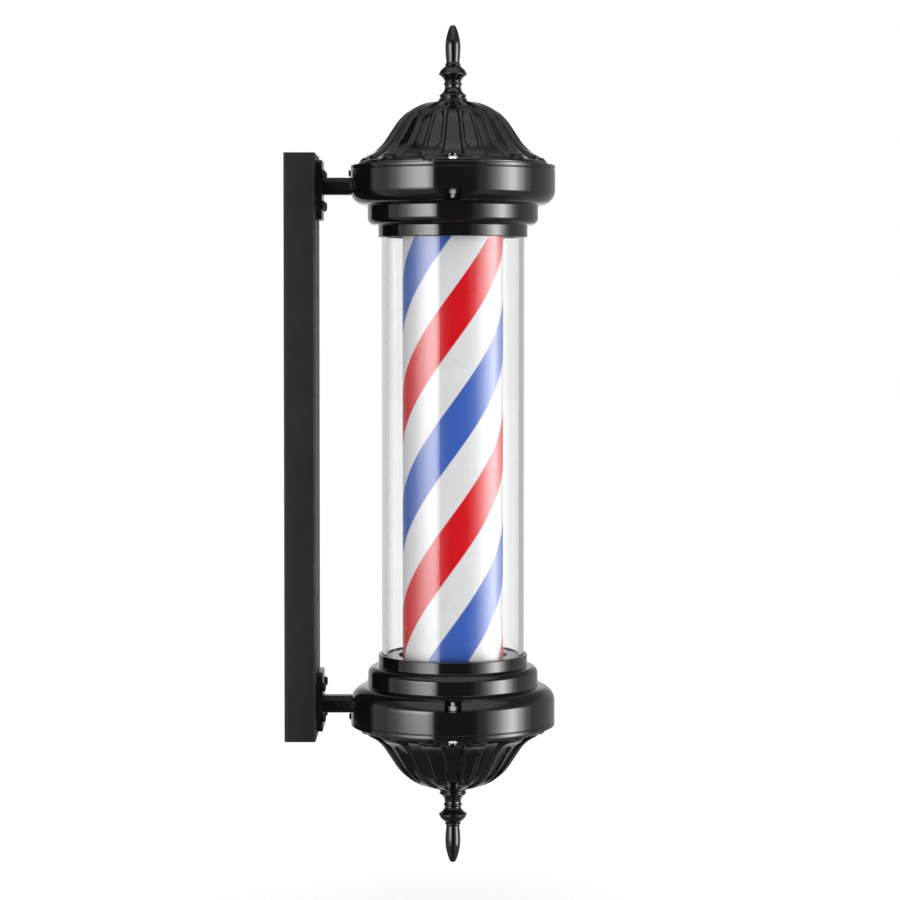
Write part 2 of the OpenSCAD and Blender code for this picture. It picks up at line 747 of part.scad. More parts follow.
module bulb_globe() color([1, 1, 0.95]) on_axis() translate([0, 0, lamp_z + socket_h + 31])
    rotate_extrude() polygon(concat(
        [[0, 0], [bulb_r - 1, 0]],
        [for (i = [0 : 10]) [bulb_r * cos(i * 9), (bulb_h - 31 - 4) * sin(i * 9) + 4]]));

module terminal_block() color("ivory") at_end(-1) translate([-32, -15, base_z]) difference() {
    cube([18, 30, 12]);
    for (y = [5, 15, 25]) translate([9, y, 6]) cylinder(r = 2.2, h = 10);
}

// ---- leads held inside ----

// Round lead that follows a route in the XZ plane, with an eight-sided section
module lead(route) {
    path = smooth(route, 2);
    last = len(path) - 1;
    sides = 8;
    rings = [for (i = [0 : last])
        let (d = path[min(i + 1, last)] - path[max(i - 1, 0)], t = d / norm(d))
            for (k = [0 : sides - 1])
                let (a = 360 * k / sides, q = lead_r * cos(a))
                    [path[i][0] - q * t[1], lead_r * sin(a), path[i][1] + q * t[0]]];
    walls = [for (i = [0 : last - 1], k = [0 : sides - 1])
        let (n = (k + 1) % sides)
            [i * sides + k, i * sides + n, (i + 1) * sides + n, (i + 1) * sides + k]];
    first_end = [for (k = [sides - 1 : -1 : 0]) k];
    last_end = [for (k = [0 : sides - 1]) last * sides + k];
    polyhedron(rings, concat([first_end], walls, [last_end]));
}

module motor_lead() color("#2a2a2a") lead(motor_route);

module lamp_lead() color("#2a2a2a") lead(lamp_route);

wall_bracket();
bracket_cap_top();
bracket_cap_bottom();
inlet_grommet();
arm_top();
arm_bottom();
arm_plate_screws();
top_saddle();
bottom_saddle();
arm_bolts();
saddle_screws();
top_collar();
bottom_collar();
top_dome();
bottom_dome();
dome_bolts();
dome_nuts();
top_finial();
bottom_finial();
finial_studs();
finial_nuts();
outer_tube();
tube_gasket_top();
tube_gasket_bottom();
pole_cylinder();
stripe_film();
pole_top_cap();
hub_set_screw();
pole_bottom_ring();
guide_sleeve();
motor_plate();
motor_plate_screws();
motor_base();
motor_can();
motor_coil();
motor_rotor();
rotor_pin();
idler_gear();
idler_pin();
output_gear();
output_shaft();
motor_screws();
lamp_plate();
lamp_plate_screws();
lamp_holder();
lamp_nipple();
nipple_nut();
bulb_base();
bulb_body();
bulb_globe();
terminal_block();
motor_lead();
lamp_lead();
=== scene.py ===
"""Looks of a wall-hung barber pole light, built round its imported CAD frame.

Turned pieces are drawn as outlines in millimetres. A point of an outline is
(radius, height), with heights in end space: 0 is a collar's rim and they grow
towards the finial, at the top end (side 1) and the bottom end (side -1) alike.
"""
import json
import math

import bmesh
import bpy
import numpy as np
from mathutils import Matrix, Vector


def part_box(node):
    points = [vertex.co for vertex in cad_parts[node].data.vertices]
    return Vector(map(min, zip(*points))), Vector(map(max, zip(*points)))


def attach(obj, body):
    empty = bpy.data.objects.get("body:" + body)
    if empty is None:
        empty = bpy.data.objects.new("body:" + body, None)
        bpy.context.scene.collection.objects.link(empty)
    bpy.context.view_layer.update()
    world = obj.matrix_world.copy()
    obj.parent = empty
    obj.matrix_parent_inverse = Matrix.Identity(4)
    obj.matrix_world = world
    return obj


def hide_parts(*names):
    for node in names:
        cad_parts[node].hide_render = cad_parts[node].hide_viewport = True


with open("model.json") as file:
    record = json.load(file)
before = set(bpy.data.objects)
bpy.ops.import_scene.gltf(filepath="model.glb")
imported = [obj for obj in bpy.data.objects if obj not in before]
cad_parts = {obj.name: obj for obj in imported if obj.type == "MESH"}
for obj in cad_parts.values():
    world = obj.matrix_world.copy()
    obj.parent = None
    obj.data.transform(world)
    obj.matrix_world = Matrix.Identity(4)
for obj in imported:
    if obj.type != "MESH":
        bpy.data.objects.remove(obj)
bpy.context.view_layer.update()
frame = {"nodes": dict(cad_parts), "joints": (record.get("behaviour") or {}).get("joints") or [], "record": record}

MM = 0.001
SIDES = {"top": 1, "bottom": -1}


# ---- places that come from the frame ----

def node_box(node):
    """Lowest and highest corner of a CAD node, in millimetres."""
    low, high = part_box(node)
    return np.array(low) / MM, np.array(high) / MM


def pole_axis():
    """Where the pole's axis crosses the ground plane, in millimetres."""
    joint = next(j for j in frame["joints"] if j["name"] == "pole_spin")
    return np.array(joint["pos_m"][:2]) / MM


AXIS = pole_axis()
RIM_Z = node_box("top_collar")[0][2]
COLLAR_H = node_box("top_dome")[0][2] - RIM_Z
DOME_H = node_box("top_finial")[0][2] - RIM_Z - COLLAR_H
FINIAL_H = node_box("top_finial")[1][2] - RIM_Z - COLLAR_H - DOME_H
BIG_R = node_box("top_collar")[1][0] - AXIS[0]
DOME_R = node_box("top_dome")[1][0] - AXIS[0]
TUBE_R = node_box("outer_tube")[1][0] - AXIS[0]
TUBE_Z = node_box("outer_tube")[1][2]
DRUM_R = node_box("stripe_film")[1][0] - AXIS[0]
FILM_Z = node_box("stripe_film")[1][2]
ARM_Z = RIM_Z + 42.8

# The plate at the bracket's end of an arm, with the places of its screws as (y, z) about its centre
PLATE_Z = ARM_Z - 3.5
PLATE_H, PLATE_W, PLATE_T = 50.0, 38.0, 5.0
PLATE_SCREWS = [(y, z) for y in (-17, 17) for z in (-13, 13)]

# Radii of the holes for 4 mm screws and bolts, for the leads through an arm, and for the inlet
HOLE_R = 2.1
LEAD_HOLE_R = 3.5
INLET_R = 5.0

# Azimuths of the three long bolts that hold each dome to its collar, 0 being away from the bar
BOLT_ANGLES = (-90, 30, 150)
BOLT_CIRCLE_R = 74.0


# ---- outlines ----

def arc(centre, radius, start, end, steps=12):
    """Points of a circular arc between two angles in degrees."""
    angles = np.radians(np.linspace(start, end, steps + 1))
    return [(centre[0] + radius * math.cos(a), centre[1] + radius * math.sin(a)) for a in angles]


def smooth(points, steps=4):
    """A smooth curve through all the points, with a number of steps between neighbours."""
    curve = []
    last = len(points) - 1
    for i in range(last):
        a, b, c, d = (np.array(points[k]) for k in (max(i - 1, 0), i, i + 1, min(i + 2, last)))
        for t in np.arange(steps) / steps:
            bend = 2 * a - 5 * b + 4 * c - d
            twist = 3 * b - a - 3 * c + d
            curve.append(tuple(0.5 * (2 * b + (c - a) * t + bend * t * t + twist * t ** 3)))
    curve.append(tuple(points[last]))
    return curve


def collar_outline():
    """Section of a collar: three stepped rings outside, a hollow shell inside."""
    small_r, mid_r, wall = 62.7, 71.6, 3.0
    mid_z, mid_bend, big_z, big_bend = 10.2, 6.0, 26.7, 13.0
    outside = [
        *arc((small_r - 0.8, 0.8), 0.8, -80, 0, 4),
        *arc((small_r + 1, mid_z - 1), 1, 180, 90, 5),
        *arc((mid_r - mid_bend, mid_z + mid_bend), mid_bend, -90, 0, 14),
        *arc((mid_r + 1, big_z - 1), 1, 180, 90, 5),
        *arc((BIG_R - big_bend, big_z + big_bend), big_bend, -90, 0, 24),
        (BIG_R, COLLAR_H - 4.6), *arc((BIG_R, COLLAR_H - 3.7), 0.6, -100, -260, 6),
        (BIG_R, COLLAR_H - 2.8), *arc((BIG_R - 0.8, COLLAR_H - 0.8), 0.8, 0, 90, 5),
    ]
    top_r, flange, ledge_z, floor_z, neck_r, drum_hole_r = 66.0, 2.5, 13.8, 1.0, 53.2, 45.5
    groove_z, groove_in, groove_out = 11.3, TUBE_R - 4.3, TUBE_R + 0.3
    inside = [
        (top_r, COLLAR_H), (top_r, COLLAR_H - flange), (BIG_R - wall, COLLAR_H - flange),
        *arc((BIG_R - big_bend, big_z + big_bend), big_bend - wall, 0, -90, 12),
        (mid_r - wall, big_z + wall),
        *arc((mid_r - mid_bend, mid_z + mid_bend), mid_bend - wall, 0, -90, 6),
        (mid_r - mid_bend, ledge_z), (neck_r, ledge_z), (neck_r, floor_z + flange),
        (drum_hole_r, floor_z + flange), (drum_hole_r, floor_z), (groove_in, floor_z),
        (groove_in, groove_z), (groove_out, groove_z), (groove_out, 0.0),
    ]
    return outside + inside


def finial_outline():
    """Turned outline of a finial, from its seat to its tip."""
    seat = COLLAR_H + DOME_H
    line = [
        (0.0, 0.0), *arc((11.1, 0.9), 0.9, -90, 60, 6), (10.6, 2.5),
        *arc((9.9, 4.2), 1.4, -60, 60, 8),
        *smooth([(9.8, 5.9), (8.4, 7.4), (7.3, 9.2), (6.8, 11.2), (6.9, 12.8)]),
        *arc((6.7, 14.1), 1.1, -80, 80, 8),
        *smooth([(6.7, 15.6), (7.2, 17.4), (8.6, 19.3), (10.6, 21)]),
        *arc((10.7, 22.3), 1.1, -50, 45, 6),
        *smooth([(11, 24.3), (9.9, 26), (7.9, 27.8), (6.3, 29.2)]),
        *arc((5.6, 30.4), 1, -65, 75, 8),
        *smooth([(5.6, 32.1), (5.8, 34.5), (6.2, 39.5), (6.4, 44.5), (6.1, 49.6), (5.4, 53.5),
                 (4.5, 57), (3.2, 60.8), (1.9, 62.9), (0.0, FINIAL_H)], 5),
    ]
    return [(r, z + seat) for r, z in line]


# ---- meshes ----

def new_object(name, mesh, location=(0, 0, 0)):
    piece = bpy.data.objects.new(name, mesh)
    piece.location = Vector(location)
    bpy.context.scene.collection.objects.link(piece)
    return piece


def mesh_from(name, points, faces, location=(0, 0, 0)):
    """A closed mesh from points in millimetres, with its faces turned outwards."""
    mesh = bpy.data.meshes.new(name)
    mesh.from_pydata([tuple(np.array(p) * MM) for p in points], [], faces)
    work = bmesh.new()
    work.from_mesh(mesh)
    bmesh.ops.remove_doubles(work, verts=work.verts, dist=1e-7)
    bmesh.ops.dissolve_degenerate(work, edges=work.edges, dist=1e-8)
    bmesh.ops.recalc_face_normals(work, faces=work.faces)
    work.to_mesh(mesh)
    work.free()
    return new_object(name, mesh, np.array(location) * MM)


def grid_faces(rows, columns, wrap_rows):
    """Quads over a grid whose columns close on themselves, and its rows too if asked."""
    faces = []
    for i in range(rows if wrap_rows else rows - 1):
        n = (i + 1) % rows
        for k in range(columns):
            m = (k + 1) % columns
            faces.append((i * columns + k, i * columns + m, n * columns + m, n * columns + k))
    return faces


def turned(name, outline, side=1, segments=192, closed=True):
    """A lathe-turned piece on the pole's axis. Its object stands on the axis at z = 0."""
    points = []
    for r, z in outline:
        for k in range(segments):
            a = 2 * math.pi * k / segments
            points.append((r * math.cos(a), r * math.sin(a), side * (RIM_Z + z)))
    faces = grid_faces(len(outline), segments, closed)
    return mesh_from(name, points, faces, (AXIS[0], AXIS[1], 0))


def extruded(name, outline, z0, z1, location=(0, 0, 0)):
    """A prism from a closed outline in XY."""
    count = len(outline)
    points = [(x, y, z) for z in (z0, z1) for x, y in outline]
    faces = [tuple(range(count)), tuple(range(count, 2 * count))]
    faces += [(k, (k + 1) % count, count + (k + 1) % count, count + k) for k in range(count)]
    return mesh_from(name, points, faces, location)


def round_rect(width, height, radius, steps=6):
    """Outline of a rectangle with round corners, about the origin."""
    outline = []
    for i, (sx, sy) in enumerate(((1, 1), (-1, 1), (-1, -1), (1, -1))):
        centre = (sx * (width / 2 - radius), sy * (height / 2 - radius))
        outline += arc(centre, radius, 90 * i, 90 * i + 90, steps)
    return outline


def place(piece, matrix):
    """Moves a piece's points by a matrix, keeping its object where it is."""
    piece.data.transform(matrix)
    if matrix.determinant() < 0:
        piece.data.flip_normals()
    return piece


def combine(piece, others, operation):
    """Cuts the others, drawn in the piece's own frame, out of it or joins them to it."""
    for other in others:
        other.location = piece.location
        change = piece.modifiers.new("combine", "BOOLEAN")
        change.operation = operation
        change.solver = "EXACT"
        change.object = other
        bpy.context.view_layer.update()
        result = bpy.data.meshes.new_from_object(
            piece.evaluated_get(bpy.context.evaluated_depsgraph_get()))
        piece.modifiers.clear()
        old, piece.data = piece.data, result
        bpy.data.meshes.remove(old)
        mesh = other.data
        bpy.data.objects.remove(other)
        bpy.data.meshes.remove(mesh)
    return piece


def shade(piece, angle=32):
    """Smooth shading, with creases sharper than an angle in degrees kept."""
    piece.data.shade_smooth()
    piece.data.set_sharp_from_angle(angle=math.radians(angle))
    return piece


def outline_normals(outline, crease=32):
    """For each segment of a closed outline, the normals at its start and end."""
    line = np.array(outline, float)
    step = np.roll(line, -1, 0) - line
    size = np.linalg.norm(step, axis=1, keepdims=True)
    flat = np.stack([step[:, 1], -step[:, 0]], 1) / np.maximum(size, 1e-9)
    limit = math.cos(math.radians(crease))

    def blended(places):
        near = np.roll(flat, places, 0)
        soft = (flat * near).sum(1, keepdims=True) > limit
        mean = flat * size + near * np.roll(size, places, 0)
        mean /= np.maximum(np.linalg.norm(mean, axis=1, keepdims=True), 1e-9)
        return np.where(soft, mean, flat)

    return line, step, size[:, 0], flat, blended(1), blended(-1)


def turned_shading(piece, outline, side):
    """Gives a turned piece the normals of its outline, so that cuts don't dent its gloss."""
    shade(piece)
    mesh = piece.data
    line, step, size, flat, first, last = outline_normals(outline)
    corner_points = np.array([mesh.vertices[v].co for p in mesh.polygons for v in p.vertices]) / MM
    corner_face = np.array([p.index for p in mesh.polygons for _ in p.vertices])
    face_normal = np.array([p.normal for p in mesh.polygons])
    face_centre = np.array([p.center for p in mesh.polygons]) / MM

    def profile(p):
        return np.stack([np.hypot(p[:, 0], p[:, 1]), side * p[:, 2] - RIM_Z], 1)

    centre = profile(face_centre)
    out = face_centre[:, :2] / np.maximum(np.hypot(*face_centre[:, :2].T), 1e-6)[:, None]
    facing = np.stack([(face_normal[:, :2] * out).sum(1), side * face_normal[:, 2]], 1)
    nearest = np.zeros(len(centre), int)
    match = np.zeros(len(centre), bool)
    for i, point in enumerate(centre):
        t = np.clip(((point - line) * step).sum(1) / np.maximum(size ** 2, 1e-9), 0, 1)
        gap = np.linalg.norm(line + step * t[:, None] - point, axis=1)
        gap[(flat @ facing[i]) < 0.9] = 9.0
        nearest[i] = gap.argmin()
        match[i] = gap.min() < 0.25
    segment = nearest[corner_face]
    point = profile(corner_points)
    t = ((point - line[segment]) * step[segment]).sum(1) / np.maximum(size[segment] ** 2, 1e-9)
    t = np.clip(t, 0, 1)[:, None]
    blend = first[segment] * (1 - t) + last[segment] * t
    radial = corner_points[:, :2] / np.maximum(np.hypot(*corner_points[:, :2].T), 1e-6)[:, None]
    normal = np.column_stack([radial * blend[:, :1], side * blend[:, 1]])
    normal = np.where(match[corner_face][:, None], normal, face_normal[corner_face])
    mesh.normals_split_custom_set([tuple(n) for n in normal])
    return piece


def rod(radius, low, high, matrix, segments=32):
    """A closed cylinder from height low to high, moved by a matrix."""
    outline = arc((0, 0), radius, 0, 360 - 360 / segments, segments - 1)
    return place(extruded("rod", outline, low, high), matrix)


def shift(x, y, z):
    """A move, in millimetres."""
    return Matrix.Translation(Vector((x, y, z)) * MM)


def turn(angle, axis="Z"):
    return Matrix.Rotation(math.radians(angle), 4, axis)


def at_end(side):
    """From end space to the frame of a piece that stands on the pole's axis."""
    flip = Matrix.Diagonal((1, 1, side, 1))
    return flip @ shift(0, 0, RIM_Z)


# ---- collars ----

# Width of a notch, its lower and upper edge in end space, and the radius of its floor
NOTCH_W, NOTCH_LOW, NOTCH_HIGH, NOTCH_R = 14.0, 28.6, 37.4, 68.2


def collar(side, name):
    """A stepped collar, with a pocket behind each of its three notches."""
    outline = collar_outline()
    piece = turned(name, outline, side, 256)
    wall, inner_r, outer_r, pocket_round, notch_round = 2.5, 66.3, 79.0, 2.0, 1.2
    pockets, cutters = [], []
    for angle in BOLT_ANGLES:
        spin = at_end(side) @ turn(angle)
        middle = spin @ shift(0, 0, (NOTCH_LOW + NOTCH_HIGH) / 2)
        sheet = round_rect(NOTCH_W + 2 * wall, NOTCH_HIGH - NOTCH_LOW + 2 * wall, pocket_round, 4)
        pocket = extruded("pocket", sheet, inner_r, outer_r)
        pockets.append(place(pocket, middle @ turn(90) @ turn(90, "X")))
        opening = round_rect(NOTCH_W, NOTCH_HIGH - NOTCH_LOW, notch_round, 4)
        cutter = extruded("cutter", opening, NOTCH_R, BIG_R + 6)
        cutters.append(place(cutter, middle @ turn(90) @ turn(90, "X")))
        cutters.append(rod(HOLE_R, NOTCH_HIGH - 1, COLLAR_H + 1, spin @ shift(BOLT_CIRCLE_R, 0, 0)))
    combine(piece, pockets, "UNION")
    combine(piece, cutters, "DIFFERENCE")
    return turned_shading(piece, outline, side)


# ---- domes ----

# The crest line is two arcs, a round crown and a hollow skirt, that meet at one slope
CROWN_C, CROWN_R = (11.3, 8.8), 44.8
SKIRT_C, SKIRT_R = (89.8, 43.45), 39.8
JOIN_ANGLE = 33.4
DOME_RIM_H = 3.0
SEAT_R = 13.5

# The ribs, and the heights above the collar of their feet and of the dishes in them
RIBS = 12
RIB_RISE = 2.2
RIB_HALF_ANGLE = 7.5
RIB_FOOT_H, DISH_FOOT_H, DISH_TOP_H = 7.2, 10.8, 45.0

# Where the long bolts' heads sit, above the collar, and where the bolts end, above its rim
BOLT_SEAT_H, BOLT_END_H = 1.6, 30.6


def dome_curve(depth, low_depth, low_h, count):
    """Crest line of the dome moved inwards by a depth: its points, normals and lengths.

    It ends at the angle where the line that lies low_depth inside comes down to low_h.
    """
    low = (SKIRT_C[1] - low_h) / (SKIRT_R + low_depth)
    end = 180 + math.degrees(math.asin(low))
    crown = np.radians(np.linspace(87, JOIN_ANGLE, count // 2, endpoint=False))
    skirt = np.radians(np.linspace(180 + JOIN_ANGLE, end, count - count // 2))
    crown_n = np.stack([np.cos(crown), np.sin(crown)], 1)
    skirt_n = -np.stack([np.cos(skirt), np.sin(skirt)], 1)
    points = np.vstack([CROWN_C + (CROWN_R - depth) * crown_n,
                        SKIRT_C - (SKIRT_R + depth) * skirt_n])
    step = np.linalg.norm(np.diff(points, axis=0), axis=1)
    return points, np.vstack([crown_n, skirt_n]), np.concatenate([[0], np.cumsum(step)])


def inside_oblong(across, past_end, half, corner):
    """How far a point lies inside an oblong with round corners.

    across is its distance from the middle line, past_end its distance beyond the near end.
    """
    x, y = across - half + corner, past_end + corner
    beyond = np.hypot(np.maximum(x, 0), np.maximum(y, 0))
    return corner - beyond - np.minimum(np.maximum(x, y), 0)


def ease(value, low, high):
    """A smooth step from 0 at low to 1 at high."""
    t = np.clip((value - low) / (high - low), 0, 1)
    return t * t * (3 - 2 * t)


def dome_skin(rows):
    """Outer skin of the dome as rows of (radius, angle, height), with its ribs raised."""
    points, normals, length = dome_curve(0, RIB_RISE, DOME_RIM_H, rows)
    half_flute = 180 / RIBS
    # Degrees from a rib's middle line, close together where its wall is steep
    steps = (0, 1.6, 3.2, 4.3, 5.0, 5.5, 6.0, 6.5, 7.0, 7.4, 7.8, 8.3, 8.9, 9.6, 10.6, 12.2, 13.7)
    within = [-u for u in steps[:0:-1]] + list(steps) + [half_flute]
    angles = np.array([half_flute * (2 * i + 1) + u for i in range(RIBS) for u in within])
    offset = np.abs(np.array(within * RIBS))
    foot, dish_foot, dish_top = np.interp(
        [-RIB_FOOT_H, -DISH_FOOT_H, -DISH_TOP_H], -points[:, 1], length)
    rib_corner, rim, wall = 3.4, 1.3, 1.8
    dish_deep, dish_slope, sag, sag_reach, stretch = 1.8, 1.5, 0.3, 6, 0.5
    skin = []
    for (r, z), (nr, nz), along in zip(points, normals, length):
        across, half = np.radians(offset) * r, math.radians(RIB_HALF_ANGLE) * r
        inside = inside_oblong(across, along - foot, half, min(rib_corner, half))
        past_end = max(along - dish_foot, dish_top - along) * stretch
        dish = inside_oblong(across, past_end, half - rim, max(half - rim, 0.1))
        hollow = dish_deep * ease(dish, 0, dish_slope) + sag * ease(dish, dish_slope, sag_reach)
        depth = RIB_RISE * (1 - ease(inside, -wall, 0)) + hollow
        skin.append(np.stack([r - depth * nr, angles, z - depth * nz], 1))
    return skin, angles


def dome_bosses(side):
    """The half-round bosses on the rim, one at the foot of each rib."""
    size, centre_r, segments = (5.0, 8.5, 5.8), 75.4, 48
    rings = [(0, 0)] + arc((0, 0), 1, 0, 90, 14)
    angles = np.linspace(0, 2 * math.pi, segments, endpoint=False)
    ball = [Vector((r * math.cos(a), r * math.sin(a), z)) * Vector(size)
            for r, z in rings for a in angles]
    points, faces = [], []
    for i in range(RIBS):
        spin = at_end(side) @ turn((i + 0.5) * 360 / RIBS) @ shift(centre_r, 0, COLLAR_H)
        faces += [tuple(len(points) + v for v in f) for f in grid_faces(len(rings), segments, False)]
        points += [tuple((spin @ (p * MM)) / MM) for p in ball]
    return mesh_from("bosses", points, faces)


def dome(side, name):
    """A hollow dome with dished ribs that end in bosses, and recesses for its three bolts."""
    skin, angles = dome_skin(84)
    wall, lip_r, lip_h = 3.0, 68.0, 2.5
    lining = dome_curve(RIB_RISE + wall, RIB_RISE + wall, lip_h, 24)[0][::-1]
    hub_r = SEAT_R * 0.3
    top = [(hub_r, DOME_H), (SEAT_R - 0.5, DOME_H), (SEAT_R, DOME_H - 0.5)]
    rim = [(DOME_R - 0.75, DOME_RIM_H - 0.25), (DOME_R - 0.35, DOME_RIM_H - 0.7),
           (DOME_R - 0.1, DOME_RIM_H - 1.3), (DOME_R, DOME_RIM_H - 2), (DOME_R, 0),
           (lip_r, 0), (lip_r, lip_h)]
    inner = list(lining[1:]) + [(hub_r, lining[-1][1])]
    rows = [[(r, a, z) for a in angles] for r, z in top] + skin
    rows += [[(r, a, z) for a in angles] for r, z in rim + inner]
    points = []
    for r, a, z in (p for row in rows for p in row):
        spin = math.radians(a)
        points.append((r * math.cos(spin), r * math.sin(spin), side * (RIM_Z + COLLAR_H + z)))
    faces = grid_faces(len(rows), len(angles), True)
    piece = mesh_from(name, points, faces, (AXIS[0], AXIS[1], 0))
    recess_r, recess_out, recess_h = 5.0, 10, 12
    recess = arc((0, 0), recess_r, 90, 270, 24) + [(recess_out, -recess_r), (recess_out, recess_r)]
    cutters = []
    for angle in BOLT_ANGLES:
        spin = at_end(side) @ turn(angle) @ shift(BOLT_CIRCLE_R, 0, COLLAR_H)
        room = extruded("recess", recess, BOLT_SEAT_H, BOLT_SEAT_H + recess_h)
        cutters.append(place(room, spin))
        cutters.append(rod(HOLE_R, -2, BOLT_SEAT_H + 2, spin))
    combine(piece, [dome_bosses(side)], "UNION")
    combine(piece, cutters, "DIFFERENCE")
    return shade(piece, 38)


# ---- fasteners ----

def pan_head(radius, height, shank_r, length, cross=0.62):
    """A pan-head screw with a cross recess. Its seat is at z = 0 and its shank goes down."""
    crown, edge, segments = height * 0.75, 0.2, 32
    outline = [(shank_r, 0), (radius - edge, 0), (radius, edge),
               *arc((radius - crown, height - crown), crown, 0, 90, 8), (0, height)]
    thread, thread_deep, tip = 0.5, 0.22, 0.3
    ridges = []
    for i in range(int(length / thread) - 1):
        ridges += [(shank_r - thread_deep, -length + thread * (i + 0.6)),
                   (shank_r, -length + thread * (i + 1.0))]
    outline = [(0, -length), (shank_r - tip, -length)] + ridges + outline
    points = [(r * math.cos(a), r * math.sin(a), z) for r, z in outline
              for a in np.linspace(0, 2 * math.pi, segments, endpoint=False)]
    screw = mesh_from("screw", points, grid_faces(len(outline), segments, False))
    blade_w, blade_l, depth = radius * 0.24, radius * cross * 2, height * 0.75
    for k in range(2):
        blade = extruded("blade", round_rect(blade_l, blade_w, blade_w * 0.3, 2),
                         height - depth, height + 1)
        combine(screw, [place(blade, turn(90 * k))], "DIFFERENCE")
    return screw


def hex_nut(across, height, bore):
    """A hexagon nut with chamfered corners, its lower face at z = 0."""
    corner = across / 2 / math.cos(math.radians(30))
    chamfer, segments = (corner - across / 2) * 0.8, 48
    outer = corner + 0.2
    envelope = [(0, 0), (corner - chamfer, 0), (outer, chamfer), (outer, height - chamfer),
                (corner - chamfer, height), (0, height)]
    points = [(r * math.cos(a), r * math.sin(a), z) for r, z in envelope
              for a in np.linspace(0, 2 * math.pi, segments, endpoint=False)]
    nut = mesh_from("nut", points, grid_faces(len(envelope), segments, False))
    prism = extruded("prism", arc((0, 0), corner, 0, 300, 5), -1, height + 1)
    combine(nut, [prism], "INTERSECT")
    combine(nut, [rod(bore, -1, height + 1, Matrix())], "DIFFERENCE")
    return nut


def copies(name, pattern, matrices, location=(0, 0, 0)):
    """One piece that holds a copy of a pattern at each matrix. The pattern is used up."""
    whole = bmesh.new()
    for matrix in matrices:
        part = pattern.data.copy()
        part.transform(matrix)
        if matrix.determinant() < 0:
            part.flip_normals()
        whole.from_mesh(part)
        bpy.data.meshes.remove(part)
    mesh = bpy.data.meshes.new(name)
    whole.to_mesh(mesh)
    whole.free()
    bpy.data.objects.remove(pattern)
    return shade(new_object(name, mesh, Vector(location) * MM), 30)


def dome_fasteners():
    """The long dome bolts and their nuts, at both ends."""
    nut_h = 3.4
    ends = [at_end(side) @ turn(angle) @ shift(BOLT_CIRCLE_R, 0, 0)
            for side in (1, -1) for angle in BOLT_ANGLES]
    heads = [m @ shift(0, 0, COLLAR_H + BOLT_SEAT_H) for m in ends]
    nuts = [m @ shift(0, 0, NOTCH_HIGH - nut_h) @ turn(30) for m in ends]
    place_on = (AXIS[0], AXIS[1], 0)
    bolt = pan_head(4.6, 2.4, 2.0, COLLAR_H + BOLT_SEAT_H - BOLT_END_H)
    return (copies("dome_bolt_set", bolt, heads, place_on),
            copies("dome_nut_set", hex_nut(7.0, nut_h, 2.05), nuts, place_on))


def bracket_fasteners():
    """The screws of the arm plates, and the small screws round the back of the big rings."""
    plate_x = node_box("arm_top")[0][0] + PLATE_T
    places = [(side, y, z) for side in (1, -1) for y, z in PLATE_SCREWS]
    plate = [shift(plate_x, y, side * PLATE_Z + z) @ turn(90, "Y") @ turn(20 * k)
             for k, (side, y, z) in enumerate(places)]
    upper, beside = 53.8, ARM_Z - RIM_Z
    back = [(-20, upper), (0, upper), (20, upper), (-12.5, beside), (12.5, beside)]
    ring = [shift(AXIS[0], AXIS[1], 0) @ at_end(side) @ turn(180 + a) @ shift(BIG_R, 0, z)
            @ turn(90, "Y") for side in (1, -1) for a, z in back]
    return (copies("plate_screw_set", pan_head(4.0, 2.6, 2.0, 10.0), plate),
            copies("ring_screw_set", pan_head(2.8, 1.6, 1.4, 8.0), ring))


# ---- bracket ----

def bracket(name):
    """The wall bar: a box section with rounded edges, drilled for its screws and leads."""
    low, high = node_box("wall_bracket")
    depth, width = high[0] - low[0], high[1] - low[1]
    wall, corner = 2.0, 2.2
    wall_screw_z, wall_screw_r, access_r = 129.0, 2.75, 4.5
    middle = shift(depth / 2, 0, 0)
    bar = place(extruded(name, round_rect(depth, width, corner, 8), low[2], high[2]), middle)
    hollow = extruded("hollow", round_rect(depth - 2 * wall, width - 2 * wall, 0.8, 3),
                      low[2] - 5, high[2] + 5)
    along = turn(90, "Y")
    cutters = [place(hollow, middle)]

    def drill(radius, x, y, z, segments=32):
        cutters.append(rod(radius, -wall, wall, shift(x, y, z) @ along, segments))

    front, back = depth - wall / 2, wall / 2
    for side in (1, -1):
        drill(access_r, front, 0, side * wall_screw_z, 48)
        drill(wall_screw_r, back, 0, side * wall_screw_z)
        drill(LEAD_HOLE_R, front, 0, side * ARM_Z)
        for y, z in PLATE_SCREWS:
            drill(HOLE_R, front, y, side * PLATE_Z + z)
    return shade(combine(bar, cutters, "DIFFERENCE"), 30)


def eased_block(name, width, height, corner, z0, z1, rounding):
    """A block with round corners in XY, whose edges at z1 are rounded off."""
    up = 1 if z1 > z0 else -1
    levels = [(0, z0)]
    levels += [(rounding * (1 - math.cos(a)), z1 - up * rounding * (1 - math.sin(a)))
               for a in np.radians(np.linspace(0, 90, 6))]
    points = []
    for shrink, z in levels:
        outline = round_rect(width - 2 * shrink, height - 2 * shrink, corner - shrink, 8)
        points += [(x, y, z) for x, y in outline]
    count = len(points) // len(levels)
    faces = grid_faces(len(levels), count, False)
    last = count * (len(levels) - 1)
    faces += [tuple(range(count)), tuple(range(last, last + count))]
    return mesh_from(name, points, faces)


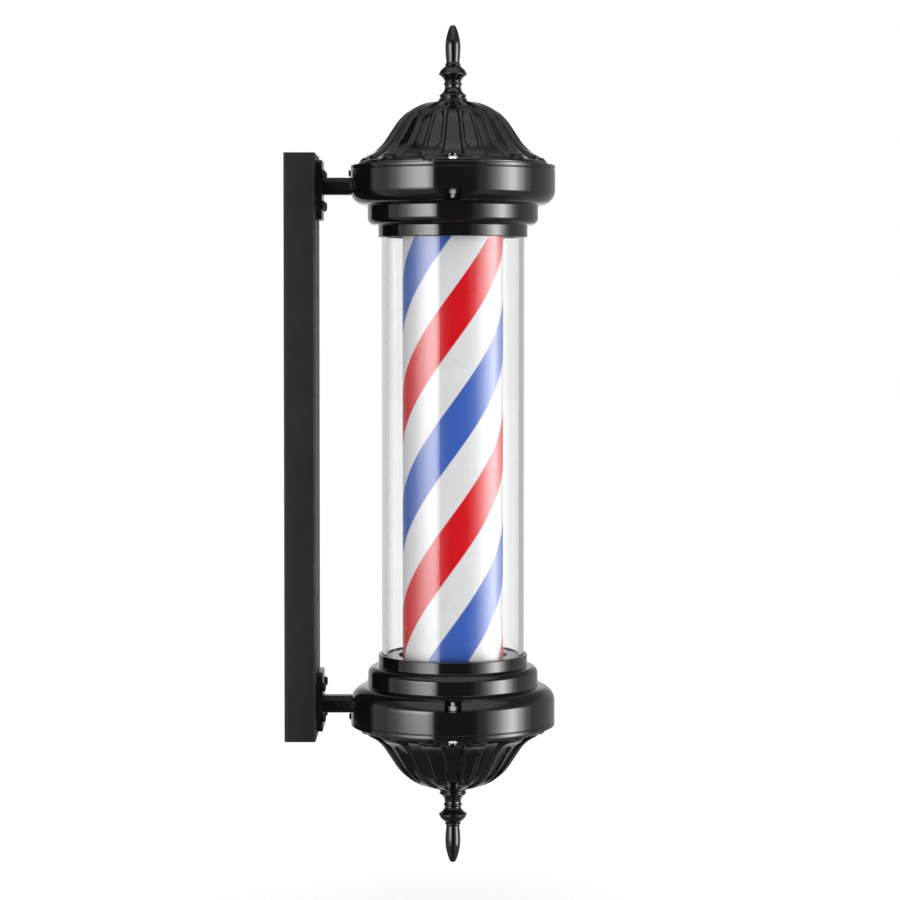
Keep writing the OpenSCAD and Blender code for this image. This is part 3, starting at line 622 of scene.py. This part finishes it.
def bracket_cap(side, node, name):
    """An end plate of the bar, with eased edges and a lip that plugs into the section."""
    low, high = node_box(node)
    depth, width = high[0] - low[0], high[1] - low[1]
    thick, wall, corner = 2.0, 2.0, 2.2
    face = side * max(abs(low[2]), abs(high[2]))
    inner = face - side * thick
    middle = shift(depth / 2, 0, 0)
    cap = place(eased_block(name, depth, width, corner, inner, face, 0.6), middle)
    gap, lip, lip_wall = 0.2, 6.0, 2.0
    lip_d, lip_w = depth - 2 * (wall + gap), width - 2 * (wall + gap)
    ends = sorted((inner - side * lip, inner + side * thick / 2))
    plug = place(extruded("plug", round_rect(lip_d, lip_w, 1, 3), *ends), middle)
    ends = sorted((inner - side * (lip + 1), inner))
    sheet = round_rect(lip_d - 2 * lip_wall, lip_w - 2 * lip_wall, 1, 3)
    combine(plug, [place(extruded("hollow", sheet, *ends), middle)], "DIFFERENCE")
    combine(cap, [plug], "UNION")
    if side < 0:
        combine(cap, [rod(INLET_R, -300, 300, middle, 48)], "DIFFERENCE")
    return shade(cap, 30)


def arm(side, node, name):
    """An arm: an oval bar on a screwed plate, hollowed to the ring that it holds."""
    low, high = node_box(node)
    arm_h, arm_w, arm_round, into_ring = 14.5, 18.5, 5.0, 4
    along = turn(90, "Y")
    piece = place(eased_block(name, PLATE_H, PLATE_W, 3.4, 0, PLATE_T, 0.9),
                  shift(low[0], 0, side * PLATE_Z) @ along)
    reach = AXIS[0] - BIG_R + into_ring - low[0]
    bar = extruded("bar", round_rect(arm_h, arm_w, arm_round, 10), 1, reach)
    combine(piece, [place(bar, shift(low[0], 0, side * ARM_Z) @ along)], "UNION")
    cutters = [rod(BIG_R, -30, 30, shift(AXIS[0], 0, side * ARM_Z), 256),
               rod(LEAD_HOLE_R, -1, 60, shift(low[0], 0, side * ARM_Z) @ along)]
    for y, z in PLATE_SCREWS:
        spot = shift(low[0], y, side * PLATE_Z + z) @ along
        cutters.append(rod(HOLE_R, -1, PLATE_T + 1, spot))
    bolt_y, bolt_deep = 5.5, 13
    for y in (-bolt_y, bolt_y):
        spot = shift(AXIS[0] - BIG_R - bolt_deep, y, side * ARM_Z) @ along
        cutters.append(rod(HOLE_R, 0, 30, spot))
    return shade(combine(piece, cutters, "DIFFERENCE"), 30)


# ---- pole and tube ----

def outer_tube(name):
    """The clear tube, with eased edges at both ends."""
    wall, edge = 4.0, 0.4
    low, high = -TUBE_Z - RIM_Z, TUBE_Z - RIM_Z
    outline = [(TUBE_R, low + edge), (TUBE_R, high - edge), (TUBE_R - edge, high),
               (TUBE_R - wall + edge, high), (TUBE_R - wall, high - edge),
               (TUBE_R - wall, low + edge), (TUBE_R - wall + edge, low), (TUBE_R - edge, low)]
    piece = turned(name, outline, 1, 320)
    return turned_shading(piece, outline, 1)


def stripe_sheet(name):
    """The printed sheet round the drum, which laps over itself in a seam at the back."""
    thick, under, lap, steps, seam = 0.04, 0.17, 4.0, 256, 90.0
    points, rows = [], []
    for k in range(steps + 1):
        along = (360 + lap) * k / steps
        lift = thick * 3 * ease(along, 360 - lap, 360)
        rows.append((math.radians(seam + along), DRUM_R - under + lift))
    for z in (-FILM_Z, FILM_Z):
        for inset in (0, thick):
            points += [((r - inset) * math.cos(a), (r - inset) * math.sin(a), z) for a, r in rows]
    n = steps + 1
    faces = []
    for k in range(steps):
        for first, second in ((0, 2), (2, 3), (3, 1), (1, 0)):
            faces.append((first * n + k, first * n + k + 1, second * n + k + 1, second * n + k))
    faces += [(0, n, 3 * n, 2 * n), (steps, 2 * n + steps, 3 * n + steps, n + steps)]
    return shade(mesh_from(name, points, faces, (AXIS[0], AXIS[1], 0)), 40)


# ---- materials ----

def feed(tree, socket, value):
    """Links a socket to another node's output, or sets its value."""
    if isinstance(value, bpy.types.NodeSocket):
        tree.links.new(value, socket)
    else:
        socket.default_value = value


def add(tree, kind, inputs=(), **settings):
    """A new node with its settings and inputs. Inputs are given by name or by place."""
    node = tree.nodes.new(kind)
    for key, value in settings.items():
        setattr(node, key, value)
    for key, value in dict(inputs).items():
        feed(tree, node.inputs[key], value)
    return node


def calc(tree, operation, *values):
    node = add(tree, "ShaderNodeMath", operation=operation)
    for socket, value in zip(node.inputs, values):
        feed(tree, socket, value)
    return node.outputs[0]


def remap(tree, value, from_low, from_high, low, high, smooth_step=False):
    kind = "SMOOTHSTEP" if smooth_step else "LINEAR"
    node = add(tree, "ShaderNodeMapRange", interpolation_type=kind)
    for socket, number in zip(node.inputs, (value, from_low, from_high, low, high)):
        feed(tree, socket, number)
    return node.outputs[0]


def blend(tree, first, second, share):
    """The first value where share is 0, the second where it is 1."""
    keep = calc(tree, "MULTIPLY", first, calc(tree, "SUBTRACT", 1.0, share))
    return calc(tree, "ADD", keep, calc(tree, "MULTIPLY", second, share))


def ramp(tree, factor, stops):
    """A colour ramp through (position, colour) stops, where a colour may be one grey value."""
    node = add(tree, "ShaderNodeValToRGB", {"Fac": factor})
    band = node.color_ramp
    while len(band.elements) < len(stops):
        band.elements.new(1)
    for element, (position, colour) in zip(band.elements, stops):
        element.position = position
        rgb = colour if isinstance(colour, tuple) else (colour,) * 3
        element.color = (*rgb, 1)
    return node.outputs["Color"]


class Finish:
    """A material made of one Principled shader, and the textures that feed it."""

    def __init__(self, name, **values):
        self.data = bpy.data.materials.new(name)
        self.data.use_nodes = True
        self.tree = self.data.node_tree
        self.shader = self.tree.nodes["Principled BSDF"]
        self.point = add(self.tree, "ShaderNodeTexCoord").outputs["Object"]
        self.normal = None
        for key, value in values.items():
            feed(self.tree, self.shader.inputs[key.replace("_", " ")], value)

    def stretched(self, x, y, z):
        """Object coordinates with a scale of their own along each axis."""
        node = add(self.tree, "ShaderNodeMapping", {"Vector": self.point, "Scale": (x, y, z)})
        return node.outputs[0]

    def round_axis(self):
        """Distance from the object's own z axis, and height, as coordinates of a turned part."""
        split = add(self.tree, "ShaderNodeSeparateXYZ", {0: self.point}).outputs
        square = calc(self.tree, "ADD", calc(self.tree, "POWER", split[0], 2.0),
                      calc(self.tree, "POWER", split[1], 2.0))
        radius = calc(self.tree, "SQRT", square)
        return add(self.tree, "ShaderNodeCombineXYZ", {0: radius, 2: split[2]}).outputs[0]

    def noise(self, scale, detail=3.0, vector=None, rough=0.5):
        node = add(self.tree, "ShaderNodeTexNoise", {
            "Vector": vector or self.point, "Scale": scale, "Detail": detail, "Roughness": rough})
        return node.outputs["Fac"]

    def colour(self, factor, *colours):
        """Base colour spread over colours by a factor that lies mostly in 0.3 to 0.7."""
        places = np.linspace(0.3, 0.7, len(colours))
        mix = ramp(self.tree, factor, list(zip(places, colours)))
        feed(self.tree, self.shader.inputs["Base Color"], mix)
        return self

    def roughness(self, factor, low, high):
        value = remap(self.tree, factor, 0.3, 0.7, low, high)
        feed(self.tree, self.shader.inputs["Roughness"], value)
        return self

    def bump(self, height, distance, strength=1.0):
        """Relief of a height in metres, on top of what is there already."""
        inputs = {"Strength": strength, "Distance": distance, "Height": height}
        if self.normal is not None:
            inputs["Normal"] = self.normal
        self.normal = add(self.tree, "ShaderNodeBump", inputs).outputs[0]
        feed(self.tree, self.shader.inputs["Normal"], self.normal)
        return self


def gloss(name, turned_lines):
    """Black enamel. Turned parts show faint lines round the axis, moulded ones orange peel."""
    it = Finish(name, IOR=1.55)
    if not turned_lines:
        feed(it.tree, it.shader.inputs["Specular Tint"], (1.0, 0.90, 0.96, 1))
    it.colour(it.noise(14), (0.0030, 0.0028, 0.0033), (0.0048, 0.0045, 0.0050))
    it.roughness(it.noise(45, 4), 0.05, 0.085)
    if turned_lines:
        it.bump(it.noise(700, 2, it.round_axis()), 2.2e-6)
        it.bump(it.noise(30, 2), 2.5e-5)
    else:
        it.bump(it.noise(55, 2), 3.5e-5)
    return it.bump(it.noise(2600, 2), 4e-7)


def powder(name, dark, light, low, high, grain):
    """Black paint with a fine grain."""
    it = Finish(name, IOR=1.5, Specular_IOR_Level=0.24)
    it.colour(it.noise(30, 5), (dark,) * 3, (light,) * 3)
    it.roughness(it.noise(900, 2), low, high)
    it.bump(it.noise(1500, 3), grain)
    return it.bump(it.noise(90, 2), grain * 2)


def metal(name, dark, light, low, high, brushed=False, shine=1.0):
    it = Finish(name, Metallic=shine)
    it.colour(it.noise(160, 5), dark, light)
    it.roughness(it.noise(240, 4), low, high)
    if brushed:
        it.bump(it.noise(60, 4, it.stretched(1, 40, 40)), 6e-6)
    return it.bump(it.noise(900, 3), 2e-6)


def plastic(name, dark, light, low, high, grain=3e-6, **values):
    it = Finish(name, **values)
    it.colour(it.noise(60, 4), dark, light)
    it.roughness(it.noise(300, 3), low, high)
    return it.bump(it.noise(1100, 2), grain)


def through(it, shadow_tint):
    """Lets soft light and shadow rays straight through a clear part, a little tinted."""
    tree = it.tree
    clear = add(tree, "ShaderNodeBsdfTransparent", {"Color": (*shadow_tint, 1)})
    path = add(tree, "ShaderNodeLightPath").outputs
    soft = calc(tree, "MAXIMUM", path["Is Shadow Ray"], path["Is Diffuse Ray"])
    mix = add(tree, "ShaderNodeMixShader", {0: soft, 1: it.shader.outputs[0], 2: clear.outputs[0]})
    feed(tree, tree.nodes["Material Output"].inputs["Surface"], mix.outputs[0])
    return it


def acrylic(name):
    it = Finish(name, IOR=1.49, **{"Transmission Weight": 1.0, "Specular Tint": (0.7, 0.7, 0.7, 1)})
    it.colour(it.noise(8), (0.965, 0.972, 0.975), (0.985, 0.99, 0.99))
    it.roughness(it.noise(35, 4), 0.0, 0.012)
    it.bump(it.noise(9, 1, it.stretched(1, 1, 0.25)), 1.6e-5)
    return through(it, (0.96, 0.965, 0.965))


# Height in metres where a red stripe starts at the front of the drum, the height that the
# pattern takes, its inks, and the share of the height for each
STRIPE_TOP = 0.131
STRIPE_PITCH = 0.1857
INK_WHITE = (0.68, 0.67, 0.68)
INKS = ((0.60, 0.003, 0.008), INK_WHITE, (0.040, 0.105, 0.42), INK_WHITE)
STRIPE_WIDTHS = (0.2493, 0.2477, 0.2558, 0.2472)


def stripes(name):
    """The printed spiral: red, white, blue, white, in two starts round the drum."""
    it = Finish(name, IOR=1.5, Specular_IOR_Level=0.15)
    tree = it.tree
    split = add(tree, "ShaderNodeSeparateXYZ", {0: it.point}).outputs
    front = calc(tree, "ARCTAN2", split[0], calc(tree, "MULTIPLY", split[1], -1.0))
    turned_by = calc(tree, "DIVIDE", front, math.pi)
    drop = calc(tree, "SUBTRACT", STRIPE_TOP, split[2])
    along = calc(tree, "ADD", calc(tree, "DIVIDE", drop, STRIPE_PITCH), turned_by)
    phase = calc(tree, "FRACT", along)
    soft = 0.0006 / STRIPE_PITCH
    stops, start = [], 0.0
    for colour, width in zip(INKS, STRIPE_WIDTHS):
        stops += [(start + soft, colour), (start + width - soft, colour)]
        start += width
    ink = ramp(tree, phase, stops)
    mottle = add(tree, "ShaderNodeHueSaturation", {
        "Value": remap(tree, it.noise(180, 5), 0.3, 0.7, 0.97, 1.03), "Color": ink})
    feed(tree, it.shader.inputs["Base Color"], mottle.outputs[0])
    it.roughness(it.noise(60, 4), 0.26, 0.36)
    it.bump(it.noise(1800, 2), 1.5e-6)
    return it.bump(it.noise(18, 2), 5e-5)


def winding(name):
    """Enamelled copper wire in layers."""
    wire = 0.0004
    it = Finish(name, Metallic=0.85, IOR=1.5)
    it.colour(it.noise(70, 3), (0.50, 0.17, 0.05), (0.66, 0.26, 0.09))
    it.roughness(it.noise(200, 3), 0.28, 0.4)
    split = add(it.tree, "ShaderNodeSeparateXYZ", {0: it.point}).outputs
    rows = calc(it.tree, "SINE", calc(it.tree, "MULTIPLY", split[2], 2 * math.pi / wire))
    return it.bump(rows, 4e-5)


GLOSS_TURNED = gloss("black_enamel_turned", True)
GLOSS_MOULDED = gloss("black_enamel_moulded", False)
FINISHES = {
    "satin_black": powder("satin_black_paint", 0.008, 0.013, 0.42, 0.56, 6e-6),
    "arm_black": powder("gloss_black_paint", 0.008, 0.014, 0.20, 0.32, 3e-6),
    "gloss_black": GLOSS_TURNED,
    "black_screws": powder("black_oxide", 0.014, 0.03, 0.16, 0.28, 2e-6),
    "zinc_screws": metal("zinc_plate", (0.82, 0.82, 0.81), (0.95, 0.95, 0.95), 0.36, 0.5, shine=0.4),
    "plated_steel": metal("zinc_sheet", (0.50, 0.51, 0.53), (0.62, 0.63, 0.64), 0.3, 0.44, True),
    "clear_acrylic": acrylic("clear_acrylic"),
    "drum_white": plastic("drum_plastic", (0.74, 0.74, 0.73), (0.80, 0.80, 0.79), 0.32, 0.42),
    "stripe_print": stripes("stripe_print"),
    "moulded_white": plastic("moulded_plastic", (0.70, 0.70, 0.68), (0.77, 0.77, 0.75), 0.35, 0.5),
    "nylon": plastic("natural_nylon", (0.60, 0.58, 0.50), (0.70, 0.68, 0.60), 0.3, 0.42,
                     **{"Subsurface Weight": 0.2, "Subsurface Scale": 0.002}),
    "coil_winding": winding("copper_winding"),
    "magnet": plastic("ferrite", (0.022, 0.021, 0.020), (0.04, 0.038, 0.036), 0.42, 0.6, 8e-6),
    "holder_black": plastic("black_phenolic", (0.010, 0.009, 0.008), (0.02, 0.018, 0.017), 0.2, 0.34),
    "lamp_globe": plastic("frosted_globe", (0.84, 0.83, 0.80), (0.9, 0.89, 0.87), 0.18, 0.3, 2e-6,
                          **{"Subsurface Weight": 0.35, "Subsurface Scale": 0.004}),
    "rubber_black": plastic("black_rubber", (0.012, 0.012, 0.012), (0.024, 0.023, 0.022), 0.6, 0.8,
                            1.2e-5),
    "lead_sheath": plastic("lead_sheath", (0.05, 0.05, 0.05), (0.08, 0.08, 0.08), 0.42, 0.55, 5e-6),
}


# ---- assembly ----

def fit(piece, slot, nodes, body="housing", finish=None):
    """Puts a piece on its body in place of CAD nodes, with the finish of a slot."""
    piece.data.materials.clear()
    piece.data.materials.append((finish or FINISHES[slot]).data)
    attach(piece, body)
    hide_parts(*nodes)


def finial(side, name):
    outline = finial_outline()
    return turned_shading(turned(name, outline, side, 128, False), outline, side)


for end, side in SIDES.items():
    fit(collar(side, end + "_collar_shell"), "gloss_black", [end + "_collar"])
    fit(dome(side, end + "_dome_shell"), "gloss_black", [end + "_dome"], finish=GLOSS_MOULDED)
    fit(finial(side, end + "_finial_turned"), "gloss_black", [end + "_finial"])
    fit(arm(side, "arm_" + end, "arm_%s_cast" % end), "arm_black", ["arm_" + end])
    cap = "bracket_cap_" + end
    fit(bracket_cap(side, cap, cap + "_pressed"), "satin_black", [cap])

bolts, nuts = dome_fasteners()
plate_screws, ring_screws = bracket_fasteners()
fit(bolts, "zinc_screws", ["dome_bolts"])
fit(nuts, "zinc_screws", ["dome_nuts"])
fit(plate_screws, "black_screws", ["arm_plate_screws"])
fit(ring_screws, "black_screws", ["saddle_screws"])
fit(bracket("wall_bar"), "satin_black", ["wall_bracket"])
fit(outer_tube("outer_tube_clear"), "clear_acrylic", ["outer_tube"])
fit(stripe_sheet("stripe_sheet"), "stripe_print", ["stripe_film"], "pole")

for part in frame["record"]["subparts"]:
    node = frame["nodes"][part["node"]]
    for i in range(max(1, len(node.data.materials))):
        finish = FINISHES[part["material_slot"]].data
        if i < len(node.data.materials):
            node.material_slots[i].material = finish
        else:
            node.data.materials.append(finish)


# ---- studio ----

def studio():
    """A white sweep with a tall soft light on each side, a grey room and a white ceiling."""
    world = bpy.data.worlds.new("studio")
    bpy.context.scene.world = world
    world.use_nodes = True
    tree = world.node_tree
    back = tree.nodes["Background"]
    way = add(tree, "ShaderNodeTexCoord").outputs["Generated"]
    split = add(tree, "ShaderNodeSeparateXYZ", {0: way}).outputs
    front = calc(tree, "ARCTAN2", split[0], calc(tree, "MULTIPLY", split[1], -1.0))
    azimuth = remap(tree, front, -math.pi, math.pi, 0.0, 1.0)
    height = calc(tree, "MULTIPLY", calc(tree, "ARCSINE", split[2]), 180 / math.pi)

    def over_azimuth(levels, top):
        """Levels by azimuth in degrees, 0 at the front and positive to the right."""
        return ramp(tree, azimuth, [((a + 180) / 360, level / top) for a, level in levels])

    highest, strength = 12.0, 10.8
    boxes = over_azimuth([
        (-80, 0.2), (-65, 1.8), (-52, 6.0), (-40, 9.2), (-30, 9.8), (-25.5, 6), (-22.5, 3.6),
        (-22, 0), (36, 0), (44, 1.2), (52, 3.6), (60, 8), (68, 12), (72, 12), (80, 6), (90, 1.2),
        (100, 0)], highest)
    room = over_azimuth([
        (-180, 0.8), (-170, 0.8), (-165, 0.5), (-145, 0.5), (-133, 0.06), (-110, 0.06),
        (-102, 0.45), (-24, 0.5), (-17, 0.08), (22, 0.08), (26, 0.15), (30, 0.4), (34, 0.5),
        (45, 0.6), (60, 0.55), (95, 0.45), (150, 0.5), (165, 0.5), (170, 0.8), (180, 0.8)], 1.0)
    left = calc(tree, "LESS_THAN", front, 0.0)
    low_left = remap(tree, height, -25.0, 4.0, 0.0, strength, True)
    low_right = remap(tree, height, -22.0, -15.0, 0.0, strength, True)
    lit = blend(tree, low_right, low_left, left)
    lit = calc(tree, "MULTIPLY", lit, remap(tree, height, 10.0, 15.0, 1.0, 0.0, True))
    boxes = calc(tree, "MULTIPLY", boxes, lit)
    room = calc(tree, "MULTIPLY", room, remap(tree, height, 10.0, 35.0, 1.0, 0.4, True))
    dark_floor, ceiling = 0.12, 0.95
    room = blend(tree, room, dark_floor, remap(tree, height, -35.0, -65.0, 0.0, 1.0, True))
    overhead = add(tree, "ShaderNodeVectorMath", {0: way, 1: (0, -0.42, 0.907)},
                   operation="DOT_PRODUCT").outputs["Value"]
    room = blend(tree, room, ceiling, remap(tree, overhead, 0.62, 0.84, 0.0, 1.0, True))
    light = calc(tree, "ADD", boxes, room)
    path = add(tree, "ShaderNodeLightPath").outputs
    seen = calc(tree, "MAXIMUM", path["Is Camera Ray"], path["Is Transmission Ray"])
    seen = calc(tree, "MULTIPLY", seen, calc(tree, "LESS_THAN", path["Diffuse Depth"], 0.5))
    seen = calc(tree, "MULTIPLY", seen, calc(tree, "LESS_THAN", path["Glossy Depth"], 0.5))
    feed(tree, back.inputs["Strength"], blend(tree, light, 1.0, seen))
    feed(tree, back.inputs["Color"], (1, 1, 1, 1))


def sweep():
    """The pale ground under the pole, which reflections and soft light don't pick up."""
    half, low, glow = 12.0, -0.42, 0.50
    mesh = bpy.data.meshes.new("ground")
    corners = [(-half, -half, low), (half, -half, low), (half, half, low), (-half, half, low)]
    mesh.from_pydata(corners, [], [(0, 1, 2, 3)])
    ground = new_object("ground", mesh)
    paint = plastic("ground_paper", (0.88, 0.88, 0.88), (0.9, 0.9, 0.9), 0.8, 0.9)
    tree = paint.tree
    feed(tree, paint.shader.inputs["Emission Color"], (1, 1, 1, 1))
    feed(tree, paint.shader.inputs["Emission Strength"], glow)
    path = add(tree, "ShaderNodeLightPath").outputs
    mirrored = calc(tree, "GREATER_THAN", path["Glossy Depth"], 0.5)
    clear = add(tree, "ShaderNodeBsdfTransparent")
    mix = add(tree, "ShaderNodeMixShader",
              {0: mirrored, 1: paint.shader.outputs[0], 2: clear.outputs[0]})
    feed(tree, tree.nodes["Material Output"].inputs["Surface"], mix.outputs[0])
    mesh.materials.append(paint.data)
    ground.visible_glossy = False
    ground.visible_diffuse = False
    ground.visible_shadow = False


def camera():
    """The photo's view: in front of the pole, a little above its middle, looking slightly down."""
    distance, height, aside, pitch = 2.23, 0.1227, 0.0024, 1.9
    lens = bpy.data.cameras.new("camera")
    lens.sensor_width = 36
    lens.lens = 106
    lens.shift_y = -0.069
    lens.clip_end = 100
    eye = bpy.data.objects.new("camera", lens)
    bpy.context.scene.collection.objects.link(eye)
    eye.location = (AXIS[0] * MM - aside, -distance, height)
    eye.rotation_euler = (math.radians(90 - pitch), 0, 0)
    bpy.context.scene.camera = eye


studio()
sweep()
camera()
bpy.context.scene.view_settings.view_transform = "Standard"
